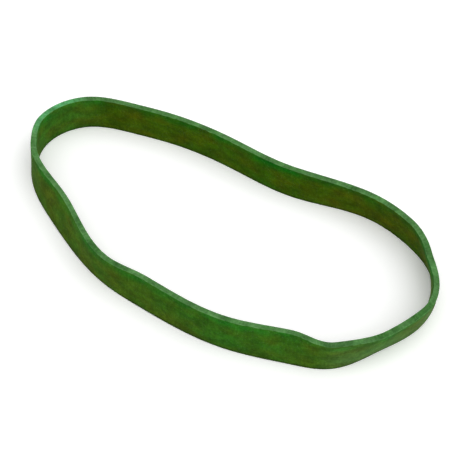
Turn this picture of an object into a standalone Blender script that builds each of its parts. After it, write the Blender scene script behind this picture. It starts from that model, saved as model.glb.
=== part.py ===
"""A flat rubber band in a loose loop, standing on one of its two cut rims.

The band is a single ring of rubber, sliced off a moulded tube, so its strip has the same
section all the way round: two smooth faces, two square cut rims and long edges that are
only just rounded. The strip is swept round a closed path in plan. The path is a smooth
curve through a few shape points, brought to the band's real length round the loop. At
each point the strip also leans, outwards or inwards, as a limp band does when it is put
down, and each section of it still rests on the floor with its lowest edge.

Sizes are in metres. +X runs along the loop, +Z is up across the strip's width, and the
origin is on the floor under the middle of the loop.
"""

import math

import bmesh
import bpy
import numpy as np

MM = 0.001

# Driving dimensions
FLAT_LENGTH = 88.9 * MM  # the band pressed flat, from one fold to the other
CUT_WIDTH = 6.35 * MM  # across the strip, from one cut rim to the other
WALL_THICKNESS = 1.0 * MM  # through the rubber, from the inner face to the outer face
EDGE_ROUNDING = 0.12 * MM  # radius along the strip's four long edges

# How finely the surface is divided
SECTION_SPACING = 0.7 * MM  # between neighbouring sections, along the strip
EDGE_FACETS = 2  # flats on each rounded edge
SAMPLES_PER_SPAN = 200  # points read from the curve between two shape points

# The loop as it lies, seen from above and taken anticlockwise: x and y in millimetres,
# and how far the top rim leans outwards, in degrees
LOOP_SHAPE = (
    # wide end, twisted from an outward to an inward lean
    (36.0, -0.5, 15.0),
    (34.5, 10.5, -12.0),
    (28.5, 15.0, -6.0),
    # far wall, a long shallow wave
    (19.0, 17.5, -7.0),
    (6.5, 16.0, 0.0),
    (-5.0, 17.0, 0.0),
    (-16.5, 17.5, 0.0),
    (-24.5, 16.5, 0.0),
    # tight end
    (-32.5, 14.0, 0.0),
    (-36.5, 7.0, 0.0),
    (-35.0, 1.0, -4.0),
    # near wall
    (-25.0, -8.0, -16.0),
    (-11.0, -15.0, 0.0),
    (-3.5, -16.5, -7.0),
    (10.5, -17.5, -4.0),
    (21.5, -15.5, -8.0),
    # turn into the wide end, where the strip falls outwards
    (28.0, -13.0, 7.0),
    (32.5, -7.0, 19.0),
)

# The green of the rubber, as linear light, and its dry satin surface
RUBBER_COLOUR = (0.062, 0.165, 0.032, 1.0)
RUBBER_ROUGHNESS = 0.55
SHARP_EDGE_ANGLE = math.radians(40.0)


def clear_scene():
    """Removes whatever the scene holds."""
    for item in list(bpy.data.objects):
        bpy.data.objects.remove(item, do_unlink=True)


def closed_slopes(points, gaps):
    """Slopes at the points of a closed curve whose bend changes evenly through each of them.

    gaps[i] is the distance from point i to the next one.
    """
    count = len(points)
    before = np.roll(gaps, 1)
    rise_after = (np.roll(points, -1, axis=0) - points) / gaps[:, None]
    rise_before = np.roll(rise_after, 1, axis=0)
    matrix = np.zeros((count, count))
    for i in range(count):
        matrix[i, (i - 1) % count] = gaps[i]
        matrix[i, i] = 2.0 * (before[i] + gaps[i])
        matrix[i, (i + 1) % count] = before[i]
    right_side = 3.0 * (gaps[:, None] * rise_before + before[:, None] * rise_after)
    return np.linalg.solve(matrix, right_side)


def along_spans(values, slopes, gaps):
    """Reads a closed cubic curve at even steps of every span, from its values and slopes."""
    t = np.linspace(0.0, 1.0, SAMPLES_PER_SPAN, endpoint=False)[None, :, None]
    start = values[:, None, :]
    end = np.roll(values, -1, axis=0)[:, None, :]
    leave = (slopes * gaps[:, None])[:, None, :]
    arrive = (np.roll(slopes, -1, axis=0) * gaps[:, None])[:, None, :]
    curve = (
        start * (1.0 + t * t * (2.0 * t - 3.0))
        + leave * (t * (1.0 - t) ** 2)
        + end * (t * t * (3.0 - 2.0 * t))
        + arrive * (t * t * (t - 1.0))
    )
    return curve.reshape(-1, values.shape[1])


def band_path():
    """The strip's foot in plan, with its outward direction and its lean, at even steps.

    Returns the points, the outward unit vectors and the leans in radians.
    """
    shape = np.array(LOOP_SHAPE)
    corners = shape[:, :2] * MM
    leans = np.radians(shape[:, 2:])
    gaps = np.linalg.norm(np.roll(corners, -1, axis=0) - corners, axis=1)
    curve = along_spans(corners, closed_slopes(corners, gaps), gaps)
    eased_leans = along_spans(leans, np.zeros_like(leans), gaps)

    # The loop's shape is kept while its length comes to that of the real band
    steps = np.linalg.norm(np.roll(curve, -1, axis=0) - curve, axis=1)
    travelled = np.concatenate(([0.0], np.cumsum(steps)))
    round_length = 2.0 * FLAT_LENGTH
    curve *= round_length / travelled[-1]
    travelled *= round_length / travelled[-1]

    sections = round(round_length / SECTION_SPACING)
    wanted = np.arange(sections) * round_length / sections
    closed_curve = np.vstack((curve, curve[:1]))
    closed_leans = np.append(eased_leans, eased_leans[0])
    points = np.column_stack([np.interp(wanted, travelled, closed_curve[:, k]) for k in (0, 1)])
    lean = np.interp(wanted, travelled, closed_leans)

    forward = np.roll(points, -1, axis=0) - np.roll(points, 1, axis=0)
    forward /= np.linalg.norm(forward, axis=1)[:, None]
    outward = np.column_stack((forward[:, 1], -forward[:, 0]))
    return points, outward, lean


def strip_section():
    """The outline of the strip's section, anticlockwise from its lower outer edge.

    Returns the distances through the wall, outwards from its middle, and the heights up
    the strip's width.
    """
    rounding = min(EDGE_ROUNDING, WALL_THICKNESS / 3.0)
    through = WALL_THICKNESS / 2.0 - rounding
    low, high = rounding, CUT_WIDTH - rounding
    arc_centres = ((through, low), (through, high), (-through, high), (-through, low))
    outline = []
    for quarter, (across, height) in enumerate(arc_centres):
        for step in range(EDGE_FACETS + 1):
            angle = math.radians(90.0) * (quarter - 1 + step / EDGE_FACETS)
            outline.append((across + rounding * math.cos(angle), height + rounding * math.sin(angle)))
    outline = np.array(outline)
    return outline[:, 0], outline[:, 1]


def band_rings():
    """The points of every section of the band, leaned and set down on the floor."""
    points, outward, lean = band_path()
    across, height = strip_section()
    cosine = np.cos(lean)[:, None]
    sine = np.sin(lean)[:, None]
    out = across[None, :] * cosine + height[None, :] * sine
    up = height[None, :] * cosine - across[None, :] * sine
    up -= up.min(axis=1, keepdims=True)
    rings = np.empty(out.shape + (3,))
    rings[:, :, :2] = points[:, None, :] + outward[:, None, :] * out[:, :, None]
    rings[:, :, 2] = up

    # The origin goes under the middle of the loop
    lowest = rings.reshape(-1, 3).min(axis=0)
    highest = rings.reshape(-1, 3).max(axis=0)
    rings[:, :, :2] -= (lowest[:2] + highest[:2]) / 2.0
    return rings


def rubber_material():
    """Green rubber with a dry satin surface."""
    material = bpy.data.materials.new("green_rubber")
    material.use_nodes = True
    shader = material.node_tree.nodes["Principled BSDF"]
    shader.inputs["Base Color"].default_value = RUBBER_COLOUR
    shader.inputs["Roughness"].default_value = RUBBER_ROUGHNESS
    shader.inputs["Metallic"].default_value = 0.0
    material.diffuse_color = RUBBER_COLOUR
    return material


def build_band():
    """The ring of rubber, as one closed surface of quads from section to section."""
    rings = band_rings()
    surface = bmesh.new()
    verts = [[surface.verts.new(point) for point in ring] for ring in rings]
    sections = len(verts)
    sides = len(verts[0])
    for i in range(sections):
        here = verts[i]
        ahead = verts[(i + 1) % sections]
        for j in range(sides):
            k = (j + 1) % sides
            surface.faces.new((here[j], ahead[j], ahead[k], here[k]))
    bmesh.ops.recalc_face_normals(surface, faces=surface.faces)
    mesh = bpy.data.meshes.new("rubber_band")
    surface.to_mesh(mesh)
    surface.free()
    mesh.shade_smooth()
    mesh.set_sharp_from_angle(angle=SHARP_EDGE_ANGLE)
    band = bpy.data.objects.new("rubber_band", mesh)
    bpy.context.collection.objects.link(band)
    band.data.materials.append(rubber_material())
    return band


clear_scene()
build_band()
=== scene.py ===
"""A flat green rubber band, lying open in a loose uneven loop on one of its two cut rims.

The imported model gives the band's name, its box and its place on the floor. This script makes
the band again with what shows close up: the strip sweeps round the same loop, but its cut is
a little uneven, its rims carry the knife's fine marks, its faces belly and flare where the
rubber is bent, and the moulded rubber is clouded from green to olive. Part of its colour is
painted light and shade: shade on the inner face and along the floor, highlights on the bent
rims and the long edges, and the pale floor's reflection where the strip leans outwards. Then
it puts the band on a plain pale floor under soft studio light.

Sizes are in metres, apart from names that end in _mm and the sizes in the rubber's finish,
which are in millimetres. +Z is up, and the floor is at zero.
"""

import logging
import math
from dataclasses import asdict, dataclass, field
from enum import Enum

import bpy
import numpy as np
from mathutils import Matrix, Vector


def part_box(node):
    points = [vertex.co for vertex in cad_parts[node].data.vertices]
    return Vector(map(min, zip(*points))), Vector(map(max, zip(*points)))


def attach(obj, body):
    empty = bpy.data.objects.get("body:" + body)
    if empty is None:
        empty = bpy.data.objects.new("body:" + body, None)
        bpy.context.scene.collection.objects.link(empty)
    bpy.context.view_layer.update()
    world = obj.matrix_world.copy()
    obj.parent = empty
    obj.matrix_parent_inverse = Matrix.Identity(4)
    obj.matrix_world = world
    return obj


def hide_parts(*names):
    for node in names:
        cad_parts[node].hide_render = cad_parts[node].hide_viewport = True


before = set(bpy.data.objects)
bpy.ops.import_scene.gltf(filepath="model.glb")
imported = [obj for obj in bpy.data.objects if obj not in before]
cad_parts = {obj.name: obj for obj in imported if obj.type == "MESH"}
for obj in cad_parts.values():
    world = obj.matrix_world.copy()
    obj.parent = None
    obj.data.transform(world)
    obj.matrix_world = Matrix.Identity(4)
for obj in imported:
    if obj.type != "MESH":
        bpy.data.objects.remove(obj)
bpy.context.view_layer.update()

MM = 0.001
FULL_TURN = 2.0 * math.pi
QUARTER_TURN = math.pi / 2.0
NOISE_MIDDLE = 0.5  # the noise texture's values lie round this one
BAND_PIECE = "band_strip"
BAND_NODE = "rubber_band"
BAND_BODY = "root"
BAKING_MAP = "OFBake"

LOG = logging.getLogger("rubber_band")

Colour = tuple[float, float, float, float]
Shades = tuple[tuple[float, Colour], ...]
Span = tuple[float, float]
Socket = bpy.types.NodeSocket
Feed = Socket | float | tuple

WHITE: Colour = (1.0, 1.0, 1.0, 1.0)


def screen_colour(red: int, green: int, blue: int) -> Colour:
    """Turns a colour as a screen shows it into linear light, by the usual screen curve.

    Args:
        red: The red part, from 0 to 255.
        green: The green part, from 0 to 255.
        blue: The blue part, from 0 to 255.

    Returns:
        The linear colour, with an alpha of 1.
    """
    parts = [part / 255.0 for part in (red, green, blue)]
    linear = [part / 12.92 if part <= 0.04045 else ((part + 0.055) / 1.055) ** 2.4 for part in parts]
    return (*linear, 1.0)


def smoothed(values: np.ndarray, reach: int) -> np.ndarray:
    """Evens out values that run round a closed line, over so many stations on each side."""
    return sum(np.roll(values, shift) for shift in range(-reach, reach + 1)) / (2 * reach + 1)


def from_direction(azimuth: float, elevation: float) -> Vector:
    """Points from the floor to something, by degrees anticlockwise from +X and degrees up."""
    around, up = math.radians(azimuth), math.radians(elevation)
    return Vector((math.cos(around) * math.cos(up), math.sin(around) * math.cos(up), math.sin(up)))


# The loop and its strip


@dataclass(frozen=True)
class ShapePoint:
    """A point of the loop as it lies, seen from above.

    x_mm and y_mm are its place, and lean is how far the top rim leans outwards, in degrees.
    """

    x_mm: float
    y_mm: float
    lean: float


# Anticlockwise, the same points as in the part's source
LOOP_SHAPE = (
    # wide end, twisted from an outward to an inward lean
    ShapePoint(36.0, -0.5, 15.0),
    ShapePoint(34.5, 10.5, -12.0),
    ShapePoint(28.5, 15.0, -6.0),
    # far wall, a long shallow wave
    ShapePoint(19.0, 17.5, -7.0),
    ShapePoint(6.5, 16.0, 0.0),
    ShapePoint(-5.0, 17.0, 0.0),
    ShapePoint(-16.5, 17.5, 0.0),
    ShapePoint(-24.5, 16.5, 0.0),
    # tight end
    ShapePoint(-32.5, 14.0, 0.0),
    ShapePoint(-36.5, 7.0, 0.0),
    ShapePoint(-35.0, 1.0, -4.0),
    # near wall
    ShapePoint(-25.0, -8.0, -16.0),
    ShapePoint(-11.0, -15.0, 0.0),
    ShapePoint(-3.5, -16.5, -7.0),
    ShapePoint(10.5, -17.5, -4.0),
    ShapePoint(21.5, -15.5, -8.0),
    # turn into the wide end, where the strip falls outwards
    ShapePoint(28.0, -13.0, 7.0),
    ShapePoint(32.5, -7.0, 19.0),
)


@dataclass
class StripLine:
    """The strip's foot, station by station.

    Attributes:
        points: Places in plan, one row for each station.
        outward: Level unit vectors that point out of the loop.
        lean: How far the top rim leans outwards, in radians.
        bend: How sharply the line turns, in radians for each metre.
        turn: How far round the band each station is, from 0 to 1.
    """

    points: np.ndarray
    outward: np.ndarray
    lean: np.ndarray
    bend: np.ndarray
    turn: np.ndarray


@dataclass(frozen=True)
class LoopPath:
    """The closed smooth line that the strip follows, brought to the band's real length.

    Attributes:
        shape: The points that it runs through.
        round_length: Its length, once round.
        stations: How many even steps it is followed in.
        samples_per_span: How many places are read between two points.
        bend_reach: How many stations on each side the bend is evened out over.
    """

    shape: tuple[ShapePoint, ...] = LOOP_SHAPE
    round_length: float = 177.8 * MM
    stations: int = 1200
    samples_per_span: int = 200
    bend_reach: int = 5

    def closed_slopes(self, points: np.ndarray, gaps: np.ndarray) -> np.ndarray:
        """Finds the slopes at which a closed curve's bend changes evenly through each point.

        Args:
            points: The points of the curve, one a row.
            gaps: The distance from each point to the next one.

        Returns:
            The slope at each point.
        """
        count = len(points)
        before = np.roll(gaps, 1)
        rise_after = (np.roll(points, -1, axis=0) - points) / gaps[:, None]
        rise_before = np.roll(rise_after, 1, axis=0)
        matrix = np.zeros((count, count))
        for i in range(count):
            matrix[i, (i - 1) % count] = gaps[i]
            matrix[i, i] = 2.0 * (before[i] + gaps[i])
            matrix[i, (i + 1) % count] = before[i]
        right_side = 3.0 * (gaps[:, None] * rise_before + before[:, None] * rise_after)
        return np.linalg.solve(matrix, right_side)

    def along_spans(self, values: np.ndarray, slopes: np.ndarray, gaps: np.ndarray) -> np.ndarray:
        """Reads a closed cubic curve at even steps of every span.

        Args:
            values: The curve's values at its points.
            slopes: The curve's slopes there.
            gaps: The distance from each point to the next one.

        Returns:
            The values read, one a row.
        """
        t = np.linspace(0.0, 1.0, self.samples_per_span, endpoint=False)[None, :, None]
        start = values[:, None, :]
        end = np.roll(values, -1, axis=0)[:, None, :]
        leave = (slopes * gaps[:, None])[:, None, :]
        arrive = (np.roll(slopes, -1, axis=0) * gaps[:, None])[:, None, :]
        curve = (
            start * (1.0 + t * t * (2.0 * t - 3.0))
            + leave * (t * (1.0 - t) ** 2)
            + end * (t * t * (3.0 - 2.0 * t))
            + arrive * (t * t * (t - 1.0))
        )
        return curve.reshape(-1, values.shape[1])

    def trace(self) -> StripLine:
        """Follows the loop at even steps.

        Returns:
            The strip's foot, station by station.
        """
        corners = np.array([(point.x_mm, point.y_mm) for point in self.shape]) * MM
        leans = np.radians([[point.lean] for point in self.shape])
        gaps = np.linalg.norm(np.roll(corners, -1, axis=0) - corners, axis=1)
        curve = self.along_spans(corners, self.closed_slopes(corners, gaps), gaps)
        eased_leans = self.along_spans(leans, np.zeros_like(leans), gaps)

        # The loop's shape is kept while its length comes to that of the real band
        steps = np.linalg.norm(np.roll(curve, -1, axis=0) - curve, axis=1)
        travelled = np.concatenate(([0.0], np.cumsum(steps)))
        travelled /= travelled[-1]
        curve *= self.round_length / steps.sum()

        turn = np.arange(self.stations) / self.stations
        rows = np.column_stack((curve, eased_leans))
        closed = np.vstack((rows, rows[:1]))
        x, y, lean = (np.interp(turn, travelled, column) for column in closed.T)
        points = np.column_stack((x, y))
        forward = np.roll(points, -1, axis=0) - np.roll(points, 1, axis=0)
        forward /= np.linalg.norm(forward, axis=1)[:, None]
        outward = np.column_stack((forward[:, 1], -forward[:, 0]))
        return StripLine(points, outward, lean, self.bend_of(forward), turn)

    def bend_of(self, forward: np.ndarray) -> np.ndarray:
        """Measures how sharply the line turns, evened out over a few stations.

        Args:
            forward: The unit direction of travel at each station.

        Returns:
            The bend at each station, above zero where the line turns left.
        """
        heading = np.unwrap(np.arctan2(forward[:, 1], forward[:, 0]))
        rise = np.diff(np.append(heading, heading[0] + FULL_TURN))
        return smoothed(rise * self.stations / self.round_length, self.bend_reach)


@dataclass(frozen=True)
class Unevenness:
    """A smooth unevenness along the strip, which closes on itself after one trip round.

    Attributes:
        depth: From its lowest to its highest.
        longest: Its longest wave, in metres.
        shortest: Its shortest wave, in metres.
        seed: Picks its waves.
    """

    depth: float
    longest: float
    shortest: float
    seed: int

    def read(self, turn: np.ndarray, round_length: float) -> np.ndarray:
        """Reads the unevenness.

        Args:
            turn: How far round the band each place is, where 1 is once round.
            round_length: The band's length round the loop, in metres.

        Returns:
            A height from 0 to the depth at each place.
        """
        draws = np.random.default_rng(self.seed)
        fewest = max(1, round(round_length / self.longest))
        most = max(fewest + 1, round(round_length / self.shortest))
        waves = np.zeros_like(turn)
        for count in range(fewest, most + 1):
            strength = draws.normal() / math.sqrt(count)
            waves += strength * np.cos(FULL_TURN * (count * turn + draws.uniform()))
        lowest = waves.min()
        return self.depth * (waves - lowest) / (waves.max() - lowest)


class Side(Enum):
    """The strip's four sides in the order of its section's outline, by the way each one faces.

    Each value says how far the side faces out of the loop and how far up.
    """

    OUTER_FACE = (1.0, 0.0)
    UPPER_RIM = (0.0, 1.0)
    INNER_FACE = (-1.0, 0.0)
    LOWER_RIM = (0.0, -1.0)


@dataclass
class Outline:
    """The points round the strip's section.

    Attributes:
        through: Each point's distance outwards from the wall's middle.
        height: Its distance up from the lower rim.
        faces_out: How far the surface there faces out of the loop, from -1 to 1.
        faces_up: How far it faces up, from -1 to 1.
    """

    through: np.ndarray
    height: np.ndarray
    faces_out: np.ndarray
    faces_up: np.ndarray

    def travelled(self) -> np.ndarray:
        """Measures the way round the outline.

        Returns:
            The distance from the first point to each point, and back to the first one.
        """
        steps_through = np.roll(self.through, -1) - self.through
        steps_up = np.roll(self.height, -1) - self.height
        return np.concatenate(([0.0], np.cumsum(np.hypot(steps_through, steps_up))))


@dataclass(frozen=True)
class StripSection:
    """The strip cut across: two moulded faces, two cut rims and four edges only just rounded.

    The wall is a hair thinner than the part's, so that the bellied faces stay inside its box.
    """

    width: float = 6.35 * MM
    wall: float = 0.985 * MM
    rounding: float = 0.06 * MM
    edge_flats: int = 4
    face_rows: int = 12
    rim_rows: int = 6

    def outline(self) -> Outline:
        """Lists the points round the section, anticlockwise from the lower outer edge.

        Returns:
            The points, closer together towards the edges.
        """
        through = self.wall / 2.0 - self.rounding
        low, high = self.rounding, self.width - self.rounding
        centres = np.array(((through, low), (through, high), (-through, high), (-through, low)))
        rows = []
        for quarter, side in enumerate(Side):
            centre, next_centre = centres[quarter], centres[(quarter + 1) % len(centres)]
            for step in range(self.edge_flats + 1):
                angle = QUARTER_TURN * (quarter - 1 + step / self.edge_flats)
                facing = np.array((math.cos(angle), math.sin(angle)))
                rows.append((*(centre + self.rounding * facing), *facing))
            facing = np.array(side.value)
            divisions = self.face_rows if side in (Side.OUTER_FACE, Side.INNER_FACE) else self.rim_rows
            for step in range(1, divisions):
                share = 0.5 - 0.5 * math.cos(math.pi * step / divisions)
                place = centre + (next_centre - centre) * share + self.rounding * facing
                rows.append((*place, *facing))
        return Outline(*np.array(rows).T)


# The band


class Layer(Enum):
    """What the band's mesh tells its material at each point, by the name it has on the mesh."""

    PLACE = "tube_place"
    FACING = "strip_facing"
    STATE = "strip_state"
    EDGE_GAP = "edge_gap"


@dataclass(frozen=True)
class CutAndCure:
    """How far the knife and the mould leave the strip from an even one.

    Attributes:
        cut: The width that the knife takes off here and there.
        wall: The wall's thinning here and there.
        knife: The ridges that the knife leaves across the rims.
        ragged: The small raggedness of the four long edges.
        ragged_reach: The distance over which the raggedness fades away from an edge.
        ragged_drift: How far it moves on along the strip from rim to rim, in turns.
        slant: How far the knife's ridges run along the strip for each metre through the wall.
        dish: How deep each rim is hollow between its edges.
        belly: The share of a free strip's cross bend that this one shows.
        squeeze: The rubber's sideways give when it is bent, as a share of the bend.
        cure: How far the cure turned the green to olive here and there, from 0 to 1.
        sharp_bend: The bend at which the painted light of the bends is full, in radians for each metre.
        bend_reach: How many stations on each side the bend is evened out over.
        far_lean: The outward lean at which the pale patches and the rims' painted shade are full, in
            degrees.
        lean_reach: How many stations on each side the lean is evened out over.
    """

    cut: Unevenness = Unevenness(0.05 * MM, 90.0 * MM, 9.0 * MM, seed=11)
    wall: Unevenness = Unevenness(0.03 * MM, 120.0 * MM, 14.0 * MM, seed=23)
    knife: Unevenness = Unevenness(0.018 * MM, 3.0 * MM, 0.55 * MM, seed=37)
    ragged: Unevenness = Unevenness(0.024 * MM, 6.0 * MM, 1.0 * MM, seed=41)
    ragged_reach: float = 0.25 * MM
    ragged_drift: float = 0.3
    slant: float = 0.45
    dish: float = 0.025 * MM
    belly: float = 0.7
    squeeze: float = 0.5
    cure: Unevenness = Unevenness(1.0, 90.0 * MM, 22.0 * MM, seed=4522)
    sharp_bend: float = 110.0
    bend_reach: int = 40
    far_lean: float = 12.0
    lean_reach: int = 28


@dataclass
class RubberBand:
    """The ring of rubber as one closed mesh, with the values that its material reads.

    Attributes:
        path: The loop that the strip follows.
        section: The strip cut across.
        flaws: What the knife and the mould did to it.
        flat_rows: How many rows the surface is laid out in when it is flattened.
        flat_margin: The gap at the foot and the head of each row, as a share of its height.
        line: The strip's foot, traced from the path.
        outline: The points round the section.
    """

    path: LoopPath = LoopPath()
    section: StripSection = StripSection()
    flaws: CutAndCure = CutAndCure()
    flat_rows: int = 3
    flat_margin: float = 0.01
    line: StripLine = field(init=False)
    outline: Outline = field(init=False)

    def __post_init__(self) -> None:
        """Traces the strip's foot and lists its section's points."""
        self.line = self.path.trace()
        self.outline = self.section.outline()

    def strip_places(self) -> tuple[np.ndarray, np.ndarray]:
        """Gives the section its unevenness and its bent shape at each station.

        Returns:
            The distances through the wall and up it, one row for each station.
        """
        flaws, section, length = self.flaws, self.section, self.path.round_length
        turn = self.line.turn[:, None]
        through, height = self.outline.through[None, :], self.outline.height[None, :]
        out, up = self.outline.faces_out[None, :], self.outline.faces_up[None, :]

        # The knife: an uneven width, hollow rims and ridges that run through the wall at a slant
        knife_turn = turn + flaws.slant * through / length
        dish = flaws.dish * (1.0 - (2.0 * through / section.wall) ** 2)
        raised = height * (1.0 - flaws.cut.read(turn, length) / section.width)
        raised = raised - up * (dish + flaws.knife.read(knife_turn, length))

        # The mould: an uneven wall, with the ragged edges that the cut left on it
        near_edge = np.exp(-np.minimum(height, section.width - height) / flaws.ragged_reach)
        ragged_turn = turn + flaws.ragged_drift * height / section.width
        thinned = through * (1.0 - flaws.wall.read(turn, length) / section.wall)
        thinned = thinned - out * near_edge * flaws.ragged.read(ragged_turn, length)

        # The bend: rubber bent more sharply than its tube flares at the rims, and straighter
        # rubber bellies
        moulded_bend = FULL_TURN / length
        cross_bend = flaws.belly * flaws.squeeze * (self.line.bend[:, None] - moulded_bend)
        half = section.width / 2.0
        bowed = thinned + cross_bend / 2.0 * ((height - half) ** 2 - half ** 2)
        return bowed, raised

    def rings(self) -> np.ndarray:
        """Leans every section, sets it on the floor and centres the loop in the node's box.

        Returns:
            The points, as stations by places round the section by three.
        """
        through, height = self.strip_places()
        cosine, sine = np.cos(self.line.lean)[:, None], np.sin(self.line.lean)[:, None]
        out = through * cosine + height * sine
        up = height * cosine - through * sine
        up -= up.min(axis=1, keepdims=True)
        level = self.line.points[:, None, :] + self.line.outward[:, None, :] * out[:, :, None]
        low, high = (np.array(corner[:2]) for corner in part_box(BAND_NODE))
        flat = level.reshape(-1, 2)
        level += (low + high) / 2.0 - (flat.min(axis=0) + flat.max(axis=0)) / 2.0
        return np.dstack((level, up))

    def tube_places(self) -> np.ndarray:
        """Finds where each point was on the round tube before the band was sliced off it.

        Returns:
            The places in millimetres, with the tube's axis as z.
        """
        radius = self.path.round_length / FULL_TURN + self.outline.through[None, :]
        angle = FULL_TURN * self.line.turn[:, None]
        x, y = radius * np.cos(angle), radius * np.sin(angle)
        height = np.broadcast_to(self.outline.height[None, :], x.shape)
        return np.dstack((x, y, height)) / MM

    def facings(self) -> np.ndarray:
        """Says which way each point faces on the strip, and how high up it is.

        Returns:
            The facing out of the loop, the facing up and the height from 0 to 1.
        """
        outline = self.outline
        row = np.column_stack((outline.faces_out, outline.faces_up, outline.height / self.section.width))
        return np.broadcast_to(row[None, :, :], (self.path.stations, *row.shape))

    def states(self) -> np.ndarray:
        """Says how olive the rubber is at each point, how sharply it is bent and how far it leans.

        Returns:
            The cure, the bend and the outward lean, each from 0 to 1.
        """
        line, flaws = self.line, self.flaws
        cure = flaws.cure.read(line.turn, self.path.round_length)
        bend = smoothed(line.bend, flaws.bend_reach) / flaws.sharp_bend
        lean = smoothed(line.lean, flaws.lean_reach) / math.radians(flaws.far_lean)
        column = np.column_stack((cure, np.clip(bend, 0.0, 1.0), np.clip(lean, 0.0, 1.0)))
        return np.broadcast_to(column[:, None, :], (self.path.stations, len(self.outline.height), 3))

    def edge_gaps(self) -> np.ndarray:
        """Measures how far each point is from the nearest of the strip's four long edges.

        Returns:
            The distances in millimetres.
        """
        up_the_face = np.minimum(self.outline.height, self.section.width - self.outline.height)
        across_the_rim = self.section.wall / 2.0 - np.abs(self.outline.through)
        gap = np.maximum(up_the_face, across_the_rim) / MM
        return np.broadcast_to(gap[None, :], (self.path.stations, len(gap)))

    def build(self) -> bpy.types.Object:
        """Makes the band's mesh.

        Returns:
            The band, linked to the scene.
        """
        rings = self.rings()
        stations, sides = rings.shape[:2]
        here = np.arange(stations * sides).reshape(stations, sides)
        ahead = np.roll(here, -1, axis=0)
        quads = np.stack((here, ahead, np.roll(ahead, -1, axis=1), np.roll(here, -1, axis=1)), axis=2)
        mesh = bpy.data.meshes.new(BAND_PIECE)
        mesh.from_pydata(rings.reshape(-1, 3).tolist(), [], quads.reshape(-1, 4).tolist())
        mesh.shade_smooth()
        self.store(mesh, Layer.PLACE, self.tube_places())
        self.store(mesh, Layer.FACING, self.facings())
        self.store(mesh, Layer.STATE, self.states())
        self.store(mesh, Layer.EDGE_GAP, self.edge_gaps())
        self.flatten(mesh)
        band = bpy.data.objects.new(BAND_PIECE, mesh)
        bpy.context.scene.collection.objects.link(band)
        return band

    def store(self, mesh: bpy.types.Mesh, layer: Layer, values: np.ndarray) -> None:
        """Writes values on the mesh's points.

        Args:
            mesh: The band's mesh.
            layer: What the values tell.
            values: One number, or three, for each station and each place round the section.
        """
        kind, entry = ("FLOAT", "value") if values.ndim == 2 else ("FLOAT_VECTOR", "vector")
        attribute = mesh.attributes.new(layer.value, kind, "POINT")
        attribute.data.foreach_set(entry, np.ascontiguousarray(values, np.float32).ravel())

    def flatten(self, mesh: bpy.types.Mesh) -> None:
        """Lays the strip's surface out flat, in a few straight rows that fill a square.

        Args:
            mesh: The band's mesh, with its faces in the order in which build makes them.
        """
        in_row = self.path.stations // self.flat_rows
        station = np.arange(self.path.stations)
        left = (station % in_row) / in_row
        right = left + 1.0 / in_row
        travelled = self.outline.travelled() / self.outline.travelled()[-1]
        row_height = 1.0 / self.flat_rows
        base = (station // in_row + self.flat_margin) * row_height
        rise = travelled * row_height * (1.0 - 2.0 * self.flat_margin)
        low, high = base[:, None] + rise[None, :-1], base[:, None] + rise[None, 1:]
        left, right = (np.broadcast_to(side[:, None], low.shape) for side in (left, right))
        corners = np.stack((left, low, right, low, right, high, left, high), axis=2)
        layer = mesh.uv_layers.new(name=BAKING_MAP)
        layer.data.foreach_set("uv", np.ascontiguousarray(corners, np.float32).ravel())

    def dress(self, band: bpy.types.Object, material: bpy.types.Material) -> None:
        """Puts the rubber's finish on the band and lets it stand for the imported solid.

        Args:
            band: The band's object.
            material: The finish.
        """
        band.data.materials.append(material)
        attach(band, BAND_BODY)
        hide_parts(BAND_NODE)


# Shader nodes


class Sum(Enum):
    """The sums that shader nodes work out, by Blender's names for them."""

    PLUS = "ADD"
    MINUS = "SUBTRACT"
    TIMES = "MULTIPLY"
    OVER = "DIVIDE"
    TIMES_PLUS = "MULTIPLY_ADD"
    POWER = "POWER"
    LARGER = "MAXIMUM"
    SIZE = "ABSOLUTE"


class Coat(Enum):
    """The ways in which a colour meets the one under it, by Blender's names for them."""

    COVER = "MIX"
    STAIN = "MULTIPLY"


@dataclass(frozen=True)
class Easing:
    """A smooth change from one level to another.

    Attributes:
        start: Where the change starts.
        end: Where it ends.
        low: The level before the start.
        high: The level after the end.
    """

    start: float
    end: float
    low: float = 0.0
    high: float = 1.0


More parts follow.
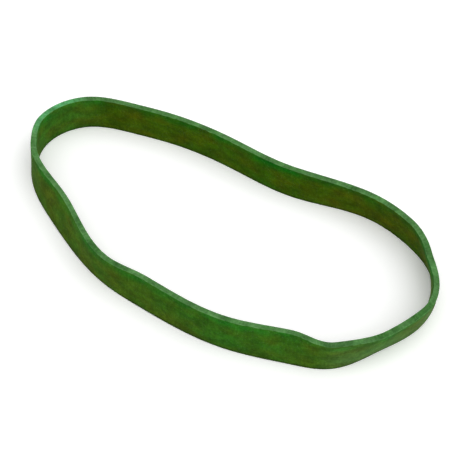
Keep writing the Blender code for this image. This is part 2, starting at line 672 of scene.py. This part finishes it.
@dataclass
class NodeBench:
    """Adds nodes to one tree, column after column from left to right, and wires them.

    Attributes:
        tree: The tree.
        column_step: From one column to the next.
        row_step: From one node down to the next.
        rows: How many nodes a column holds.
        count: How many nodes it has added.
    """

    tree: bpy.types.NodeTree
    column_step: float = 190.0
    row_step: float = 260.0
    rows: int = 4
    count: int = 0

    def add(self, kind: str, label: str = "", **settings: object) -> bpy.types.Node:
        """Adds a node.

        Args:
            kind: Blender's name for the kind of node.
            label: What the node says on its head.
            **settings: The node's own settings.

        Returns:
            The node.
        """
        node = self.tree.nodes.new(kind)
        node.label = label
        column, row = divmod(self.count, self.rows)
        node.location = (column * self.column_step, -row * self.row_step)
        self.count += 1
        for name, value in settings.items():
            setattr(node, name, value)
        return node

    def feed(self, socket: Socket, value: Feed) -> None:
        """Wires an output to a socket, or writes a constant on it.

        Args:
            socket: The socket that is fed.
            value: The output or the constant.
        """
        if isinstance(value, Socket):
            self.tree.links.new(value, socket)
        else:
            socket.default_value = value

    def read(self, layer: Layer, output: str = "Vector") -> Socket:
        """Reads what the mesh tells at each point."""
        return self.add("ShaderNodeAttribute", attribute_name=layer.value).outputs[output]

    def sum(self, kind: Sum, *numbers: Feed, clamped: bool = False) -> Socket:
        """Works out a number.

        Args:
            kind: The kind of sum.
            *numbers: As many numbers as it takes.
            clamped: Whether the result is held between 0 and 1.

        Returns:
            The result.
        """
        node = self.add("ShaderNodeMath", operation=kind.value, use_clamp=clamped)
        for socket, value in zip(node.inputs, numbers):
            self.feed(socket, value)
        return node.outputs[0]

    def times(self, first: Feed, *factors: Feed) -> Socket:
        """Multiplies numbers, one after another.

        Args:
            first: The first number.
            *factors: The others.

        Returns:
            The product.
        """
        product = first
        for factor in factors:
            product = self.sum(Sum.TIMES, product, factor)
        return product

    def weigh(self, *parts: tuple[Feed, float]) -> Socket:
        """Adds up numbers by their weights.

        Args:
            *parts: Each number with its weight.

        Returns:
            The total.
        """
        total = 0.0
        for value, weight in parts:
            total = self.sum(Sum.TIMES_PLUS, value, weight, total)
        return total

    def span(self, share: Feed, ends: Span) -> Socket:
        """Turns a share from 0 to 1 into a number between two ends."""
        return self.sum(Sum.TIMES_PLUS, share, ends[1] - ends[0], ends[0])

    def ease(self, value: Feed, change: Easing) -> Socket:
        """Turns a number into a level that changes smoothly.

        Args:
            value: The number that is read.
            change: Where the level changes, and from what to what.

        Returns:
            The level.
        """
        node = self.add("ShaderNodeMapRange", interpolation_type="SMOOTHSTEP")
        self.feed(node.inputs["Value"], value)
        self.feed(node.inputs["From Min"], change.start)
        self.feed(node.inputs["From Max"], change.end)
        self.feed(node.inputs["To Min"], change.low)
        self.feed(node.inputs["To Max"], change.high)
        return node.outputs["Result"]

    def shades(self, value: Feed, stops: Shades, label: str) -> Socket:
        """Reads a colour from a row of shades.

        Args:
            value: Where the row is read, from 0 to 1.
            stops: Each shade with its place in the row.
            label: What the node says on its head.

        Returns:
            The colour.
        """
        node = self.add("ShaderNodeValToRGB", label=label)
        row = node.color_ramp.elements
        while len(row) < len(stops):
            row.new(1.0)
        for element, (place, colour) in zip(row, stops):
            element.position = place
            element.color = colour
        self.feed(node.inputs[0], value)
        return node.outputs["Color"]

    def blend(self, share: Feed, under: Feed, over: Feed, label: str, coat: Coat = Coat.COVER) -> Socket:
        """Lays one colour over another.

        Args:
            share: How much of the upper colour shows, from 0 to 1.
            under: The lower colour.
            over: The upper colour.
            label: What the node says on its head.
            coat: How the two meet.

        Returns:
            The colour.
        """
        node = self.add("ShaderNodeMix", label=label, data_type="RGBA", blend_type=coat.value)
        colours = [socket for socket in node.inputs if socket.type == "RGBA"]
        self.feed(node.inputs["Factor"], share)
        self.feed(colours[0], under)
        self.feed(colours[1], over)
        return next(socket for socket in node.outputs if socket.type == "RGBA")

    def tone(self, colour: Feed, mask: Feed, ends: Span, label: str) -> Socket:
        """Makes a colour darker at one end of a mask and lighter at the other."""
        return self.blend(1.0, colour, self.span(mask, ends), label, Coat.STAIN)

    def split(self, vector: Feed) -> tuple[Socket, ...]:
        """Takes a vector's three numbers apart.

        Args:
            vector: The vector.

        Returns:
            The three numbers.
        """
        node = self.add("ShaderNodeSeparateXYZ")
        self.feed(node.inputs[0], vector)
        return tuple(node.outputs)

    def join(self, x: Feed, y: Feed, z: Feed) -> Socket:
        """Makes a vector of three numbers.

        Args:
            x: The first number.
            y: The second number.
            z: The third number.

        Returns:
            The vector.
        """
        node = self.add("ShaderNodeCombineXYZ")
        for socket, value in zip(node.inputs, (x, y, z)):
            self.feed(socket, value)
        return node.outputs[0]

    def noise_mask(self, place: Feed, detail: Feed, harshness: float,
                   contrast: Feed, share: Feed) -> Socket:
        """Reads a mask off noise whose patches are one unit across.

        Args:
            place: Where it is read.
            detail: How many finer layers the noise holds.
            harshness: How strong each finer layer is against the one before.
            contrast: How hard the patches' edges are.
            share: How much the patches cover, around a half.

        Returns:
            The mask, from 0 to 1.
        """
        node = self.add("ShaderNodeTexNoise")
        self.feed(node.inputs["Vector"], place)
        self.feed(node.inputs["Scale"], 1.0)
        self.feed(node.inputs["Detail"], detail)
        self.feed(node.inputs["Roughness"], harshness)
        centred = self.sum(Sum.MINUS, node.outputs["Fac"], NOISE_MIDDLE)
        return self.sum(Sum.TIMES_PLUS, centred, contrast, share, clamped=True)

    def use(self, group: bpy.types.NodeTree, **values: Feed) -> Socket:
        """Places a shared node group.

        Args:
            group: The group.
            **values: What each input gets, by its name in small letters.

        Returns:
            The group's one output.
        """
        node = self.add("ShaderNodeGroup", label=group.name, node_tree=group)
        for name, value in values.items():
            self.feed(node.inputs[name.capitalize()], value)
        return node.outputs[0]

    def seen_directly(self) -> Socket:
        """Tells apart the rays that the camera follows, also by a shine or through something clear.

        Returns:
            1 for such a ray, and 0 for light on its way to a surface.
        """
        rays = self.add("ShaderNodeLightPath").outputs
        sharp = self.sum(Sum.LARGER, rays["Is Glossy Ray"], rays["Is Transmission Ray"])
        return self.sum(Sum.LARGER, rays["Is Camera Ray"], sharp)


@dataclass(frozen=True)
class Clouds:
    """Soft patches, with their sizes in millimetres.

    Attributes:
        length: How long they are along the strip.
        height: How high they are up it.
        contrast: How hard their edges are.
        share: How much they cover, around a half.
        shift: Moves them, so that no two finishes have theirs in the same places.
        detail: How many finer layers they hold.
    """

    length: float
    height: float
    contrast: float
    share: float = 0.5
    shift: float = 0.0
    detail: float = 4.0


@dataclass(frozen=True)
class CrossLines:
    """Fine lines straight through the wall and up the strip, with their sizes in millimetres.

    Attributes:
        spacing: From one line to the next, along the strip.
        wander: How far up the strip a line runs before it changes.
        contrast: How hard their edges are.
        shift: Moves them, so that no two finishes have theirs in the same places.
    """

    spacing: float
    wander: float
    contrast: float
    shift: float = 0.0


Pattern = Clouds | CrossLines


@dataclass
class SharedPatterns:
    """The patterns that come more than once in the finishes, each kind as one node group.

    Every one reads the place on the round tube, in millimetres, so that it has no seam and
    stays in proportion wherever the strip bends.

    Attributes:
        tube_radius_mm: The radius of the tube, in the middle of its wall.
        cloud_harshness: How strong each finer layer of the clouds is against the one before.
        line_harshness: The same for the lines.
        line_detail: How many finer layers the lines hold.
        line_share: How much the lines cover, around a half.
        groups: The group for each kind of pattern.
    """

    tube_radius_mm: float = LoopPath().round_length / FULL_TURN / MM
    cloud_harshness: float = 0.55
    line_harshness: float = 0.6
    line_detail: float = 3.0
    line_share: float = 0.5
    groups: dict[type, bpy.types.NodeTree] = field(init=False)

    def __post_init__(self) -> None:
        """Builds the groups."""
        self.groups = {Clouds: self.build_clouds(), CrossLines: self.build_cross_lines()}

    def lay(self, bench: NodeBench, pattern: Pattern, place: Feed) -> Socket:
        """Lays a pattern on a surface, as a mask that is read at a place on the tube."""
        return bench.use(self.groups[type(pattern)], place=place, **asdict(pattern))

    def start_group(self, name: str, usual: Pattern) -> tuple[NodeBench, dict[str, Socket], Socket]:
        """Starts a group that takes a place and a pattern's numbers, and gives one mask.

        Args:
            name: The group's name.
            usual: The numbers that stand where nothing else is given.

        Returns:
            The bench, the inputs by name, and the socket that the mask goes into.
        """
        group = bpy.data.node_groups.new(name, "ShaderNodeTree")
        group.interface.new_socket("Place", in_out="INPUT", socket_type="NodeSocketVector")
        for number, value in asdict(usual).items():
            socket = group.interface.new_socket(
                number.capitalize(), in_out="INPUT", socket_type="NodeSocketFloat")
            socket.default_value = value
        group.interface.new_socket("Mask", in_out="OUTPUT", socket_type="NodeSocketFloat")
        bench = NodeBench(group)
        entry = bench.add("NodeGroupInput")
        leave = bench.add("NodeGroupOutput")
        inputs = {socket.name: socket for socket in entry.outputs if socket.name}
        return bench, inputs, leave.inputs["Mask"]

    def build_clouds(self) -> bpy.types.NodeTree:
        """Builds the soft patches.

        Returns:
            The group.
        """
        usual = Clouds(length=6.0, height=2.0, contrast=3.0)
        bench, taken, mask = self.start_group("clouds", usual)
        x, y, z = bench.split(taken["Place"])
        place = bench.join(
            bench.sum(Sum.PLUS, bench.sum(Sum.OVER, x, taken["Length"]), taken["Shift"]),
            bench.sum(Sum.OVER, y, taken["Length"]),
            bench.sum(Sum.OVER, z, taken["Height"]),
        )
        clouds = bench.noise_mask(
            place, taken["Detail"], self.cloud_harshness, taken["Contrast"], taken["Share"])
        bench.feed(mask, clouds)
        return bench.tree

    def build_cross_lines(self) -> bpy.types.NodeTree:
        """Builds the fine lines, which are spaced by their angle round the tube's axis.

        Returns:
            The group.
        """
        usual = CrossLines(spacing=0.4, wander=6.0, contrast=2.5)
        bench, taken, mask = self.start_group("cross_lines", usual)
        x, y, z = bench.split(taken["Place"])
        squares = bench.sum(Sum.PLUS, bench.times(x, x), bench.times(y, y))
        radius = bench.sum(Sum.POWER, squares, 0.5)
        spacing = bench.times(radius, bench.sum(Sum.OVER, taken["Spacing"], self.tube_radius_mm))
        place = bench.join(
            bench.sum(Sum.OVER, x, spacing),
            bench.sum(Sum.OVER, y, spacing),
            bench.sum(Sum.PLUS, bench.sum(Sum.OVER, z, taken["Wander"]), taken["Shift"]),
        )
        lines = bench.noise_mask(
            place, self.line_detail, self.line_harshness, taken["Contrast"], self.line_share)
        bench.feed(mask, lines)
        return bench.tree


# The finishes


@dataclass(frozen=True)
class StripSurface:
    """The strip as its finish sees it.

    Attributes:
        bench: The material's bench.
        patterns: The shared patterns.
        place: The place on the round tube, in millimetres.
        outer: 1 on the outer face, easing to 0 on the inner one.
        height: The height up the strip, from 0 to 1.
        rim: 1 on the cut rims, easing to 0 on the faces.
        cure: How far the green has turned to olive.
        bend: How sharply the strip is bent.
        lean: How far it leans outwards.
        edge_gap: The distance to the nearest long edge, in millimetres.
    """

    bench: NodeBench
    patterns: SharedPatterns
    place: Socket
    outer: Socket
    height: Socket
    rim: Socket
    cure: Socket
    bend: Socket
    lean: Socket
    edge_gap: Socket

    def lay(self, pattern: Pattern) -> Socket:
        """Lays a shared pattern on the strip."""
        return self.patterns.lay(self.bench, pattern, self.place)


@dataclass(frozen=True)
class MouldedFaces:
    """The faces that the mould left: green clouded with olive, paler where the strip falls outwards.

    The inner face is darker and browner by painted shade from inside the loop, and the paler
    patches are partly bloomed rubber and partly a painted reflection of the pale floor.

    Attributes:
        outer: The outer face's shades, from the floor, at 0, to the upper rim, at 1.
        inner: The inner face's shades, darker and browner by painted shade from inside the loop.
        bent_and_lit_inner: The inner face's shades in a bend: greener rubber with painted light.
        into_bend: How they come in as the bend grows sharper.
        outer_olive: The olive of the outer face.
        inner_olive: The olive of the inner face, darker and browner with its painted shade.
        broad: The olive clouds.
        fine: Smaller clouds that break them up.
        fine_depth: What is left of a broad cloud between the small ones and on them.
        cloud_share: How much olive the clouds bring.
        cure_by_height: How much olive the cure brings, up the strip.
        cure_by_face: How much of that shows on the inner face and on the outer one.
        bloom_and_floor_reflection: Pale bloomed rubber, partly a painted reflection of the floor.
        bloom_and_reflection_by_lean: How the pale patches come in as the strip leans outwards.
        bloom_and_reflection_by_height: How much of them there is, down the strip.
        bloom_and_reflection_by_cloud: How much of them is left between the olive clouds and on them.
        die_tone: How dark and how light the die's lines are.
    """

    outer: Shades = (
        (0.00, screen_colour(48, 94, 22)),
        (0.35, screen_colour(47, 99, 23)),
        (0.75, screen_colour(46, 101, 22)),
        (0.93, screen_colour(29, 106, 26)),
    )
    # Darker and browner than the outer face: painted shade from inside the loop
    inner: Shades = (
        (0.00, screen_colour(48, 93, 12)),
        (0.40, screen_colour(54, 89, 4)),
        (0.72, screen_colour(48, 94, 6)),
        (0.91, screen_colour(18, 98, 13)),
    )
    # Greener rubber and painted light, where the inner face is bent
    bent_and_lit_inner: Shades = (
        (0.72, screen_colour(56, 118, 38)),
        (0.91, screen_colour(20, 128, 44)),
    )
    into_bend: Easing = Easing(0.45, 0.95, high=0.5)
    outer_olive: Colour = screen_colour(80, 86, 14)
    # Darker, browner olive, part of the inner face's painted shade
    inner_olive: Colour = screen_colour(86, 76, 3)
    broad: Clouds = Clouds(length=4.6, height=2.4, contrast=3.4, share=0.42, shift=2.0, detail=1.5)
    fine: Clouds = Clouds(length=1.2, height=0.8, contrast=2.4, shift=7.0)
    fine_depth: Span = (0.8, 1.0)
    cloud_share: float = 0.38
    cure_by_height: Easing = Easing(0.72, 0.93, low=0.22, high=0.09)
    cure_by_face: Span = (1.0, 1.6)
    # Pale bloomed rubber and a painted reflection of the floor, on faces that lean outwards
    bloom_and_floor_reflection: Colour = screen_colour(110, 155, 93)
    bloom_and_reflection_by_lean: Easing = Easing(0.0, 1.0)
    bloom_and_reflection_by_height: Easing = Easing(1.0, 0.0, low=0.12, high=0.40)
    bloom_and_reflection_by_cloud: Span = (1.0, 0.7)
    die_tone: Span = (0.92, 1.08)

    def colour(self, strip: StripSurface, die_lines: Feed) -> Socket:
        """Colours the two faces.

        Args:
            strip: The strip's surface.
            die_lines: The fine lines that the die left up the faces.

        Returns:
            The colour.
        """
        bench = strip.bench
        broad = strip.lay(self.broad)
        olive = bench.blend(strip.outer, self.inner_olive, self.outer_olive, "olive")
        faces = bench.blend(self.olive_share(strip, broad), self.green(strip), olive, "olive clouds")
        # Pale patches on faces that lean outwards: bloomed rubber and a painted reflection of the floor
        faces = bench.blend(self.bloom_and_reflection_share(strip, broad), faces, self.bloom_and_floor_reflection, "pale bloom")
        return bench.tone(faces, die_lines, self.die_tone, "die lines")

    def green(self, strip: StripSurface) -> Socket:
        """Shades both faces up the strip, the inner one in painted shade, and greener and painted
        lighter where it is bent.

        Args:
            strip: The strip's surface.

        Returns:
            The colour, still without olive and the pale patches.
        """
        bench = strip.bench
        outer = bench.shades(strip.height, self.outer, "outer face")
        # The inner face's shades hold painted shade from inside the loop
        inner = bench.shades(strip.height, self.inner, "inner face")
        # In a bend the inner face is greener and painted lighter
        bent_and_lit_inner = bench.shades(strip.height, self.bent_and_lit_inner, "inner face in a bend")
        bent = bench.ease(strip.bend, self.into_bend)
        inner = bench.blend(bent, inner, bent_and_lit_inner, "greener in a bend")
        return bench.blend(strip.outer, inner, outer, "outer or inner")

    def olive_share(self, strip: StripSurface, broad: Feed) -> Socket:
        """Works out how much olive there is, from the clouds and from the cure.

        Args:
            strip: The strip's surface.
            broad: The olive clouds.

        Returns:
            The share of olive.
        """
        bench = strip.bench
        clouds = bench.times(bench.span(strip.lay(self.fine), self.fine_depth), broad)
        up_the_strip = bench.ease(strip.height, self.cure_by_height)
        cured = bench.times(strip.cure, up_the_strip, bench.span(strip.outer, self.cure_by_face))
        return bench.sum(Sum.TIMES_PLUS, clouds, self.cloud_share, cured)

    def bloom_and_reflection_share(self, strip: StripSurface, broad: Feed) -> Socket:
        """Works out how much pale bloomed rubber and painted floor reflection lies on the outer face.

        Args:
            strip: The strip's surface.
            broad: The olive clouds.

        Returns:
            The share of bloomed rubber and painted reflection.
        """
        bench = strip.bench
        by_lean = bench.ease(strip.lean, self.bloom_and_reflection_by_lean)
        by_height = bench.ease(strip.height, self.bloom_and_reflection_by_height)
        by_cloud = bench.span(broad, self.bloom_and_reflection_by_cloud)
        return bench.times(by_lean, by_height, by_cloud, strip.outer)


@dataclass(frozen=True)
class CutRims:
    """The rims that the knife left: paler than the faces, with the knife's marks.

    Attributes:
        fresh: The rims' colour.
        bent: Their paler colour in a sharp bend, a painted highlight where the bent rim catches the
            light.
        into_bend: How it comes in as the bend grows sharper.
        mark_and_shade: The darker colour of the marks, also laid as painted shade where a rim leans out.
        patches: Where the rims are darker.
        patch_share: How much of the marks' colour the patches bring.
        knife_share: How much the knife's lines bring.
        lean_shade_share: How much painted shade an outward lean brings.
    """

    fresh: Colour = screen_colour(88, 134, 78)
    # Paler in a sharp bend: a painted highlight where the bent rim catches the light
    bent: Colour = screen_colour(95, 174, 112)
    into_bend: Easing = Easing(0.74, 0.95)
    # Also laid as painted shade on rims that lean outwards
    mark_and_shade: Colour = screen_colour(48, 96, 38)
    patches: Clouds = Clouds(length=3.0, height=3.0, contrast=4.5, share=0.4, shift=3.0, detail=2.0)
    patch_share: float = 0.50
    knife_share: float = 0.28
    lean_shade_share: float = 0.18

    def colour(self, strip: StripSurface, knife: Feed) -> Socket:
        """Colours the two rims.

        Args:
            strip: The strip's surface.
            knife: The knife's marks.

        Returns:
            The colour.
        """
        bench = strip.bench
        # The painted highlight on rims in sharp bends
        bent = bench.ease(strip.bend, self.into_bend)
        cut = bench.blend(bent, self.fresh, self.bent, "paler in a bend")
        # Knife marks and darker patches, plus painted shade where a rim leans outwards
        marks_and_shade = bench.weigh(
            (strip.lay(self.patches), self.patch_share),
            (knife, self.knife_share),
            (strip.lean, self.lean_shade_share),
        )
        return bench.blend(marks_and_shade, cut, self.mark_and_shade, "knife marks")


@dataclass(frozen=True)
class Ageing:
    """What use and time left on the whole strip, plus painted floor shade and painted edge highlights.

    Attributes:
        painted_floor_shade: The colour of the painted shade, a darker line where the strip meets the
            floor.
        into_floor_shade: How that painted shade comes in, down the strip.
        edge_wear_and_highlight: The long edges' colour, partly wear and partly a painted highlight.
        near_edge: How the wear and the painted highlight come in towards an edge, in millimetres.
        wear_and_highlight_patches: Where the edges show wear and the painted highlight.
        uneven: Soft patches of darker and lighter rubber.
        uneven_tone: How dark and how light they are.
        grain: The fine grain.
        grain_tone: How dark and how light it is.
        dust: The dust's colour.
        speckle: Where the dust lies.
        dust_share: How much of the rubber it covers there.
    """

    # Painted shade: a darker line where the strip meets the floor
    painted_floor_shade: Colour = screen_colour(36, 52, 8)
    into_floor_shade: Easing = Easing(0.10, 0.0, high=0.75)
    # Partly wear and partly a painted highlight where the long edges catch the light
    edge_wear_and_highlight: Colour = screen_colour(112, 158, 100)
    near_edge: Easing = Easing(0.14, 0.02, high=0.7)
    wear_and_highlight_patches: Clouds = Clouds(length=0.9, height=0.9, contrast=4.0, share=0.4, shift=15.0)
    uneven: Clouds = Clouds(length=2.6, height=1.6, contrast=3.0, shift=27.0, detail=2.0)
    uneven_tone: Span = (0.77, 1.23)
    grain: Clouds = Clouds(length=0.42, height=0.42, contrast=3.2, shift=11.0)
    grain_tone: Span = (0.81, 1.19)
    dust: Colour = screen_colour(120, 150, 110)
    speckle: Clouds = Clouds(length=0.16, height=0.16, contrast=8.0, share=-0.7, shift=5.0)
    dust_share: float = 0.3

    def colour(self, strip: StripSurface, clean: Feed) -> Socket:
        """Ages a clean colour, and paints shade at the floor and highlights on the edges.

        Args:
            strip: The strip's surface.
            clean: The clean colour.

        Returns:
            The colour.
        """
        bench = strip.bench
        # Painted shade along the floor
        low = bench.ease(strip.height, self.into_floor_shade)
        colour = bench.blend(low, clean, self.painted_floor_shade, "floor line")
        # Wear and a painted highlight along the long edges
        wear_and_highlight_share = bench.times(bench.ease(strip.edge_gap, self.near_edge), strip.lay(self.wear_and_highlight_patches))
        colour = bench.blend(wear_and_highlight_share, colour, self.edge_wear_and_highlight, "worn edges")
        colour = bench.tone(colour, strip.lay(self.uneven), self.uneven_tone, "uneven tone")
        colour = bench.tone(colour, strip.lay(self.grain), self.grain_tone, "grain")
        dusty = bench.times(strip.lay(self.speckle), self.dust_share)
        return bench.blend(dusty, colour, self.dust, "dust")


@dataclass(frozen=True)
class RubberTouch:
    """What a finger would feel: how dry the rubber is, and a relief too fine for the mesh.

    Attributes:
        dryness: The faces' roughness, from the smoother patches to the drier ones.
        dry_patches: Where the faces are drier.
        rim_dryness: How much rougher the cut rims are.
        skin: The fine skin on the faces.
        skin_height_mm: How high the skin stands.
        die_height_mm: How high the die's lines stand.
        knife_height_mm: How high the knife's marks stand on the rims.
    """

    dryness: Span = (0.53, 0.67)
    dry_patches: Clouds = Clouds(length=3.0, height=1.2, contrast=2.5, shift=9.0)
    rim_dryness: float = 0.12
    skin: Clouds = Clouds(length=0.2, height=0.2, contrast=2.0, shift=2.0)
    skin_height_mm: float = 0.02
    die_height_mm: float = 0.008
    knife_height_mm: float = 0.03

    def roughness(self, strip: StripSurface) -> Socket:
        """Works out the roughness, which is more on the rims and in dry patches."""
        faces = strip.bench.span(strip.lay(self.dry_patches), self.dryness)
        return strip.bench.sum(Sum.TIMES_PLUS, strip.rim, self.rim_dryness, faces)

    def relief(self, strip: StripSurface, knife: Feed, die_lines: Feed) -> Socket:
        """Raises the skin and the die's lines on the faces, and the knife's marks on the rims.

        Args:
            strip: The strip's surface.
            knife: The knife's marks.
            die_lines: The fine lines that the die left up the faces.

        Returns:
            The normal.
        """
        bench = strip.bench
        skin = strip.lay(self.skin)
        faces = bench.weigh((skin, self.skin_height_mm), (die_lines, self.die_height_mm))
        rims = bench.times(knife, self.knife_height_mm)
        height_mm = bench.sum(Sum.TIMES_PLUS, strip.rim, bench.sum(Sum.MINUS, rims, faces), faces)
        bump = bench.add("ShaderNodeBump")
        bench.feed(bump.inputs["Distance"], MM)
        bench.feed(bump.inputs["Height"], height_mm)
        return bump.outputs["Normal"]


@dataclass(frozen=True)
class RubberFinish:
    """The cured rubber: clouded greens on the moulded faces, paler where the knife cut it.

    Attributes:
        faces: The moulded faces.
        rims: The cut rims.
        ageing: What use and time left, with painted floor shade and painted edge highlights.
        touch: The dryness and the fine relief.
        knife: The lines that the knife left through the wall.
        die_lines: The lines that the die left up the faces.
        onto_outer: How the outer face takes over from the inner one, by the facing outwards.
        onto_rim: How a rim takes over from the faces, by the facing up or down.
        shine: The level of its mirror-like shine.
    """

    faces: MouldedFaces = MouldedFaces()
    rims: CutRims = CutRims()
    ageing: Ageing = Ageing()
    touch: RubberTouch = RubberTouch()
    knife: CrossLines = CrossLines(spacing=0.34, wander=3.0, contrast=3.6, shift=4.0)
    die_lines: CrossLines = CrossLines(spacing=0.22, wander=9.0, contrast=2.0)
    onto_outer: Easing = Easing(-0.3, 0.3)
    onto_rim: Easing = Easing(0.5, 0.92)
    shine: float = 0.01

    def build(self, patterns: SharedPatterns) -> bpy.types.Material:
        """Builds the rubber's material.

        Args:
            patterns: The shared patterns.

        Returns:
            The material.
        """
        material = bpy.data.materials.new("cured_green_rubber")
        material.use_nodes = True
        shader = material.node_tree.nodes["Principled BSDF"]
        shader.inputs["Specular IOR Level"].default_value = self.shine

        bench = NodeBench(material.node_tree)
        strip = self.read_strip(bench, patterns)
        knife = strip.lay(self.knife)
        die_lines = strip.lay(self.die_lines)
        faces = self.faces.colour(strip, die_lines)
        rims = self.rims.colour(strip, knife)
        clean = bench.blend(strip.rim, faces, rims, "rims over faces")
        bench.feed(shader.inputs["Base Color"], self.ageing.colour(strip, clean))
        bench.feed(shader.inputs["Roughness"], self.touch.roughness(strip))
        bench.feed(shader.inputs["Normal"], self.touch.relief(strip, knife, die_lines))
        return material

    def read_strip(self, bench: NodeBench, patterns: SharedPatterns) -> StripSurface:
        """Reads what the band's mesh tells.

        Args:
            bench: The material's bench.
            patterns: The shared patterns.

        Returns:
            The strip's surface.
        """
        place = bench.read(Layer.PLACE)
        faces_out, faces_up, height = bench.split(bench.read(Layer.FACING))
        cure, bend, lean = bench.split(bench.read(Layer.STATE))
        edge_gap = bench.read(Layer.EDGE_GAP, "Fac")
        outer = bench.ease(faces_out, self.onto_outer)
        rim = bench.ease(bench.sum(Sum.SIZE, faces_up), self.onto_rim)
        return StripSurface(bench, patterns, place, outer, height, rim, cure, bend, lean, edge_gap)


@dataclass(frozen=True)
class FloorFinish:
    """The pale floor: white as it is seen, and a plain off-white for the light it throws back.

    It is seen a little brighter than white, which keeps the band's shadow light.
    """

    seen: Colour = (1.22, 1.22, 1.22, 1.0)
    lit: Colour = (0.8, 0.8, 0.8, 1.0)
    roughness: float = 1.0
    shine: float = 0.0

    def build(self) -> bpy.types.Material:
        """Builds the floor's material.

        Returns:
            The material.
        """
        material = bpy.data.materials.new("pale_floor")
        material.use_nodes = True
        bench = NodeBench(material.node_tree)
        shader = material.node_tree.nodes["Principled BSDF"]
        shader.inputs["Roughness"].default_value = self.roughness
        shader.inputs["Specular IOR Level"].default_value = self.shine
        colour = bench.blend(bench.seen_directly(), self.lit, self.seen, "white to the camera")
        bench.feed(shader.inputs["Base Color"], colour)
        return material


# The studio


@dataclass(frozen=True)
class SoftLamp:
    """A large soft lamp far away.

    Attributes:
        name: What it is called.
        azimuth: Where it stands, in degrees anticlockwise from +X.
        elevation: How high it stands, in degrees above the floor.
        level: Its light on a surface that faces it, in watts for each square metre.
        spread: How wide it looks from the floor, in degrees.
    """

    name: str
    azimuth: float
    elevation: float
    level: float
    spread: float

    def build(self) -> bpy.types.Object:
        """Hangs the lamp.

        Returns:
            The lamp's object.
        """
        light = bpy.data.lights.new(self.name, "SUN")
        light.energy = self.level
        light.angle = math.radians(self.spread)
        lamp = bpy.data.objects.new(self.name, light)
        back = from_direction(self.azimuth, self.elevation)
        lamp.rotation_euler = back.to_track_quat("Z", "Y").to_euler()
        bpy.context.scene.collection.objects.link(lamp)
        return lamp


@dataclass(frozen=True)
class Viewpoint:
    """The camera, at the photograph's viewing angle.

    Attributes:
        target: The place that it looks at.
        azimuth: Where it stands, in degrees anticlockwise from +X.
        elevation: How high it looks down from, in degrees.
        distance: How far it is from the target.
        view_width: How wide the picture is at the target.
        film_mm: The width of the camera's film.
        nearest: The distance from which it sees things.
    """

    target: tuple[float, float, float] = (2.72 * MM, 1.25 * MM, 2.96 * MM)
    azimuth: float = -62.0
    elevation: float = 48.5
    distance: float = 264.9 * MM
    view_width: float = 74.82 * MM
    film_mm: float = 36.0
    nearest: float = 10.0 * MM

    def build(self) -> bpy.types.Object:
        """Sets the camera up.

        Returns:
            The camera's object.
        """
        lens = bpy.data.cameras.new("portrait_camera")
        lens.sensor_width = self.film_mm
        lens.lens = self.film_mm * self.distance / self.view_width
        lens.clip_start = self.nearest
        camera = bpy.data.objects.new("portrait_camera", lens)
        back = from_direction(self.azimuth, self.elevation)
        camera.location = Vector(self.target) + back * self.distance
        camera.rotation_euler = back.to_track_quat("Z", "Y").to_euler()
        bpy.context.scene.collection.objects.link(camera)
        bpy.context.scene.camera = camera
        return camera


@dataclass
class Studio:
    """A plain pale floor, two soft lamps, an even sky and the camera."""

    floor_radius: float = 1.5
    floor_sides: int = 96
    floor_finish: FloorFinish = FloorFinish()
    sky_level: float = 0.58
    lamps: tuple[SoftLamp, ...] = (
        SoftLamp("key_lamp", azimuth=2.0, elevation=53.0, level=1.3, spread=84.0),
        SoftLamp("fill_lamp", azimuth=-95.0, elevation=52.0, level=0.5, spread=80.0),
    )
    viewpoint: Viewpoint = Viewpoint()

    def lay_floor(self) -> bpy.types.Object:
        """Lays the floor under the band.

        Returns:
            The floor's object.
        """
        angles = [FULL_TURN * side / self.floor_sides for side in range(self.floor_sides)]
        edge = [(self.floor_radius * math.cos(a), self.floor_radius * math.sin(a), 0.0) for a in angles]
        mesh = bpy.data.meshes.new("floor")
        mesh.from_pydata(edge, [], [list(range(self.floor_sides))])
        mesh.materials.append(self.floor_finish.build())
        floor = bpy.data.objects.new("floor", mesh)
        bpy.context.scene.collection.objects.link(floor)
        return floor

    def light_sky(self) -> None:
        """Lights the scene evenly from all round, with white behind for the camera."""
        world = bpy.data.worlds.new("studio_sky")
        world.use_nodes = True
        bench = NodeBench(world.node_tree)
        background = world.node_tree.nodes["Background"]
        background.inputs["Color"].default_value = WHITE
        level = bench.span(bench.seen_directly(), (self.sky_level, 1.0))
        bench.feed(background.inputs["Strength"], level)
        bpy.context.scene.world = world

    def build(self) -> None:
        """Sets up the floor, the light and the camera."""
        self.lay_floor()
        self.light_sky()
        for lamp in self.lamps:
            lamp.build()
        self.viewpoint.build()
        bpy.context.scene.view_settings.view_transform = "Standard"


def report_piece(piece: bpy.types.Object) -> None:
    """Logs a piece's size and how many faces it has."""
    size = ", ".join(f"{side / MM:.2f}" for side in piece.dimensions)
    LOG.info("%s: %s mm, %d faces", piece.name, size, len(piece.data.polygons))


def main() -> None:
    """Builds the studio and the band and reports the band."""
    logging.basicConfig(level=logging.INFO, format="%(name)s: %(message)s")
    Studio().build()
    patterns = SharedPatterns()
    maker = RubberBand()
    band = maker.build()
    maker.dress(band, RubberFinish().build(patterns))
    bpy.context.view_layer.update()
    report_piece(band)


if __name__ == "__main__":
    main()
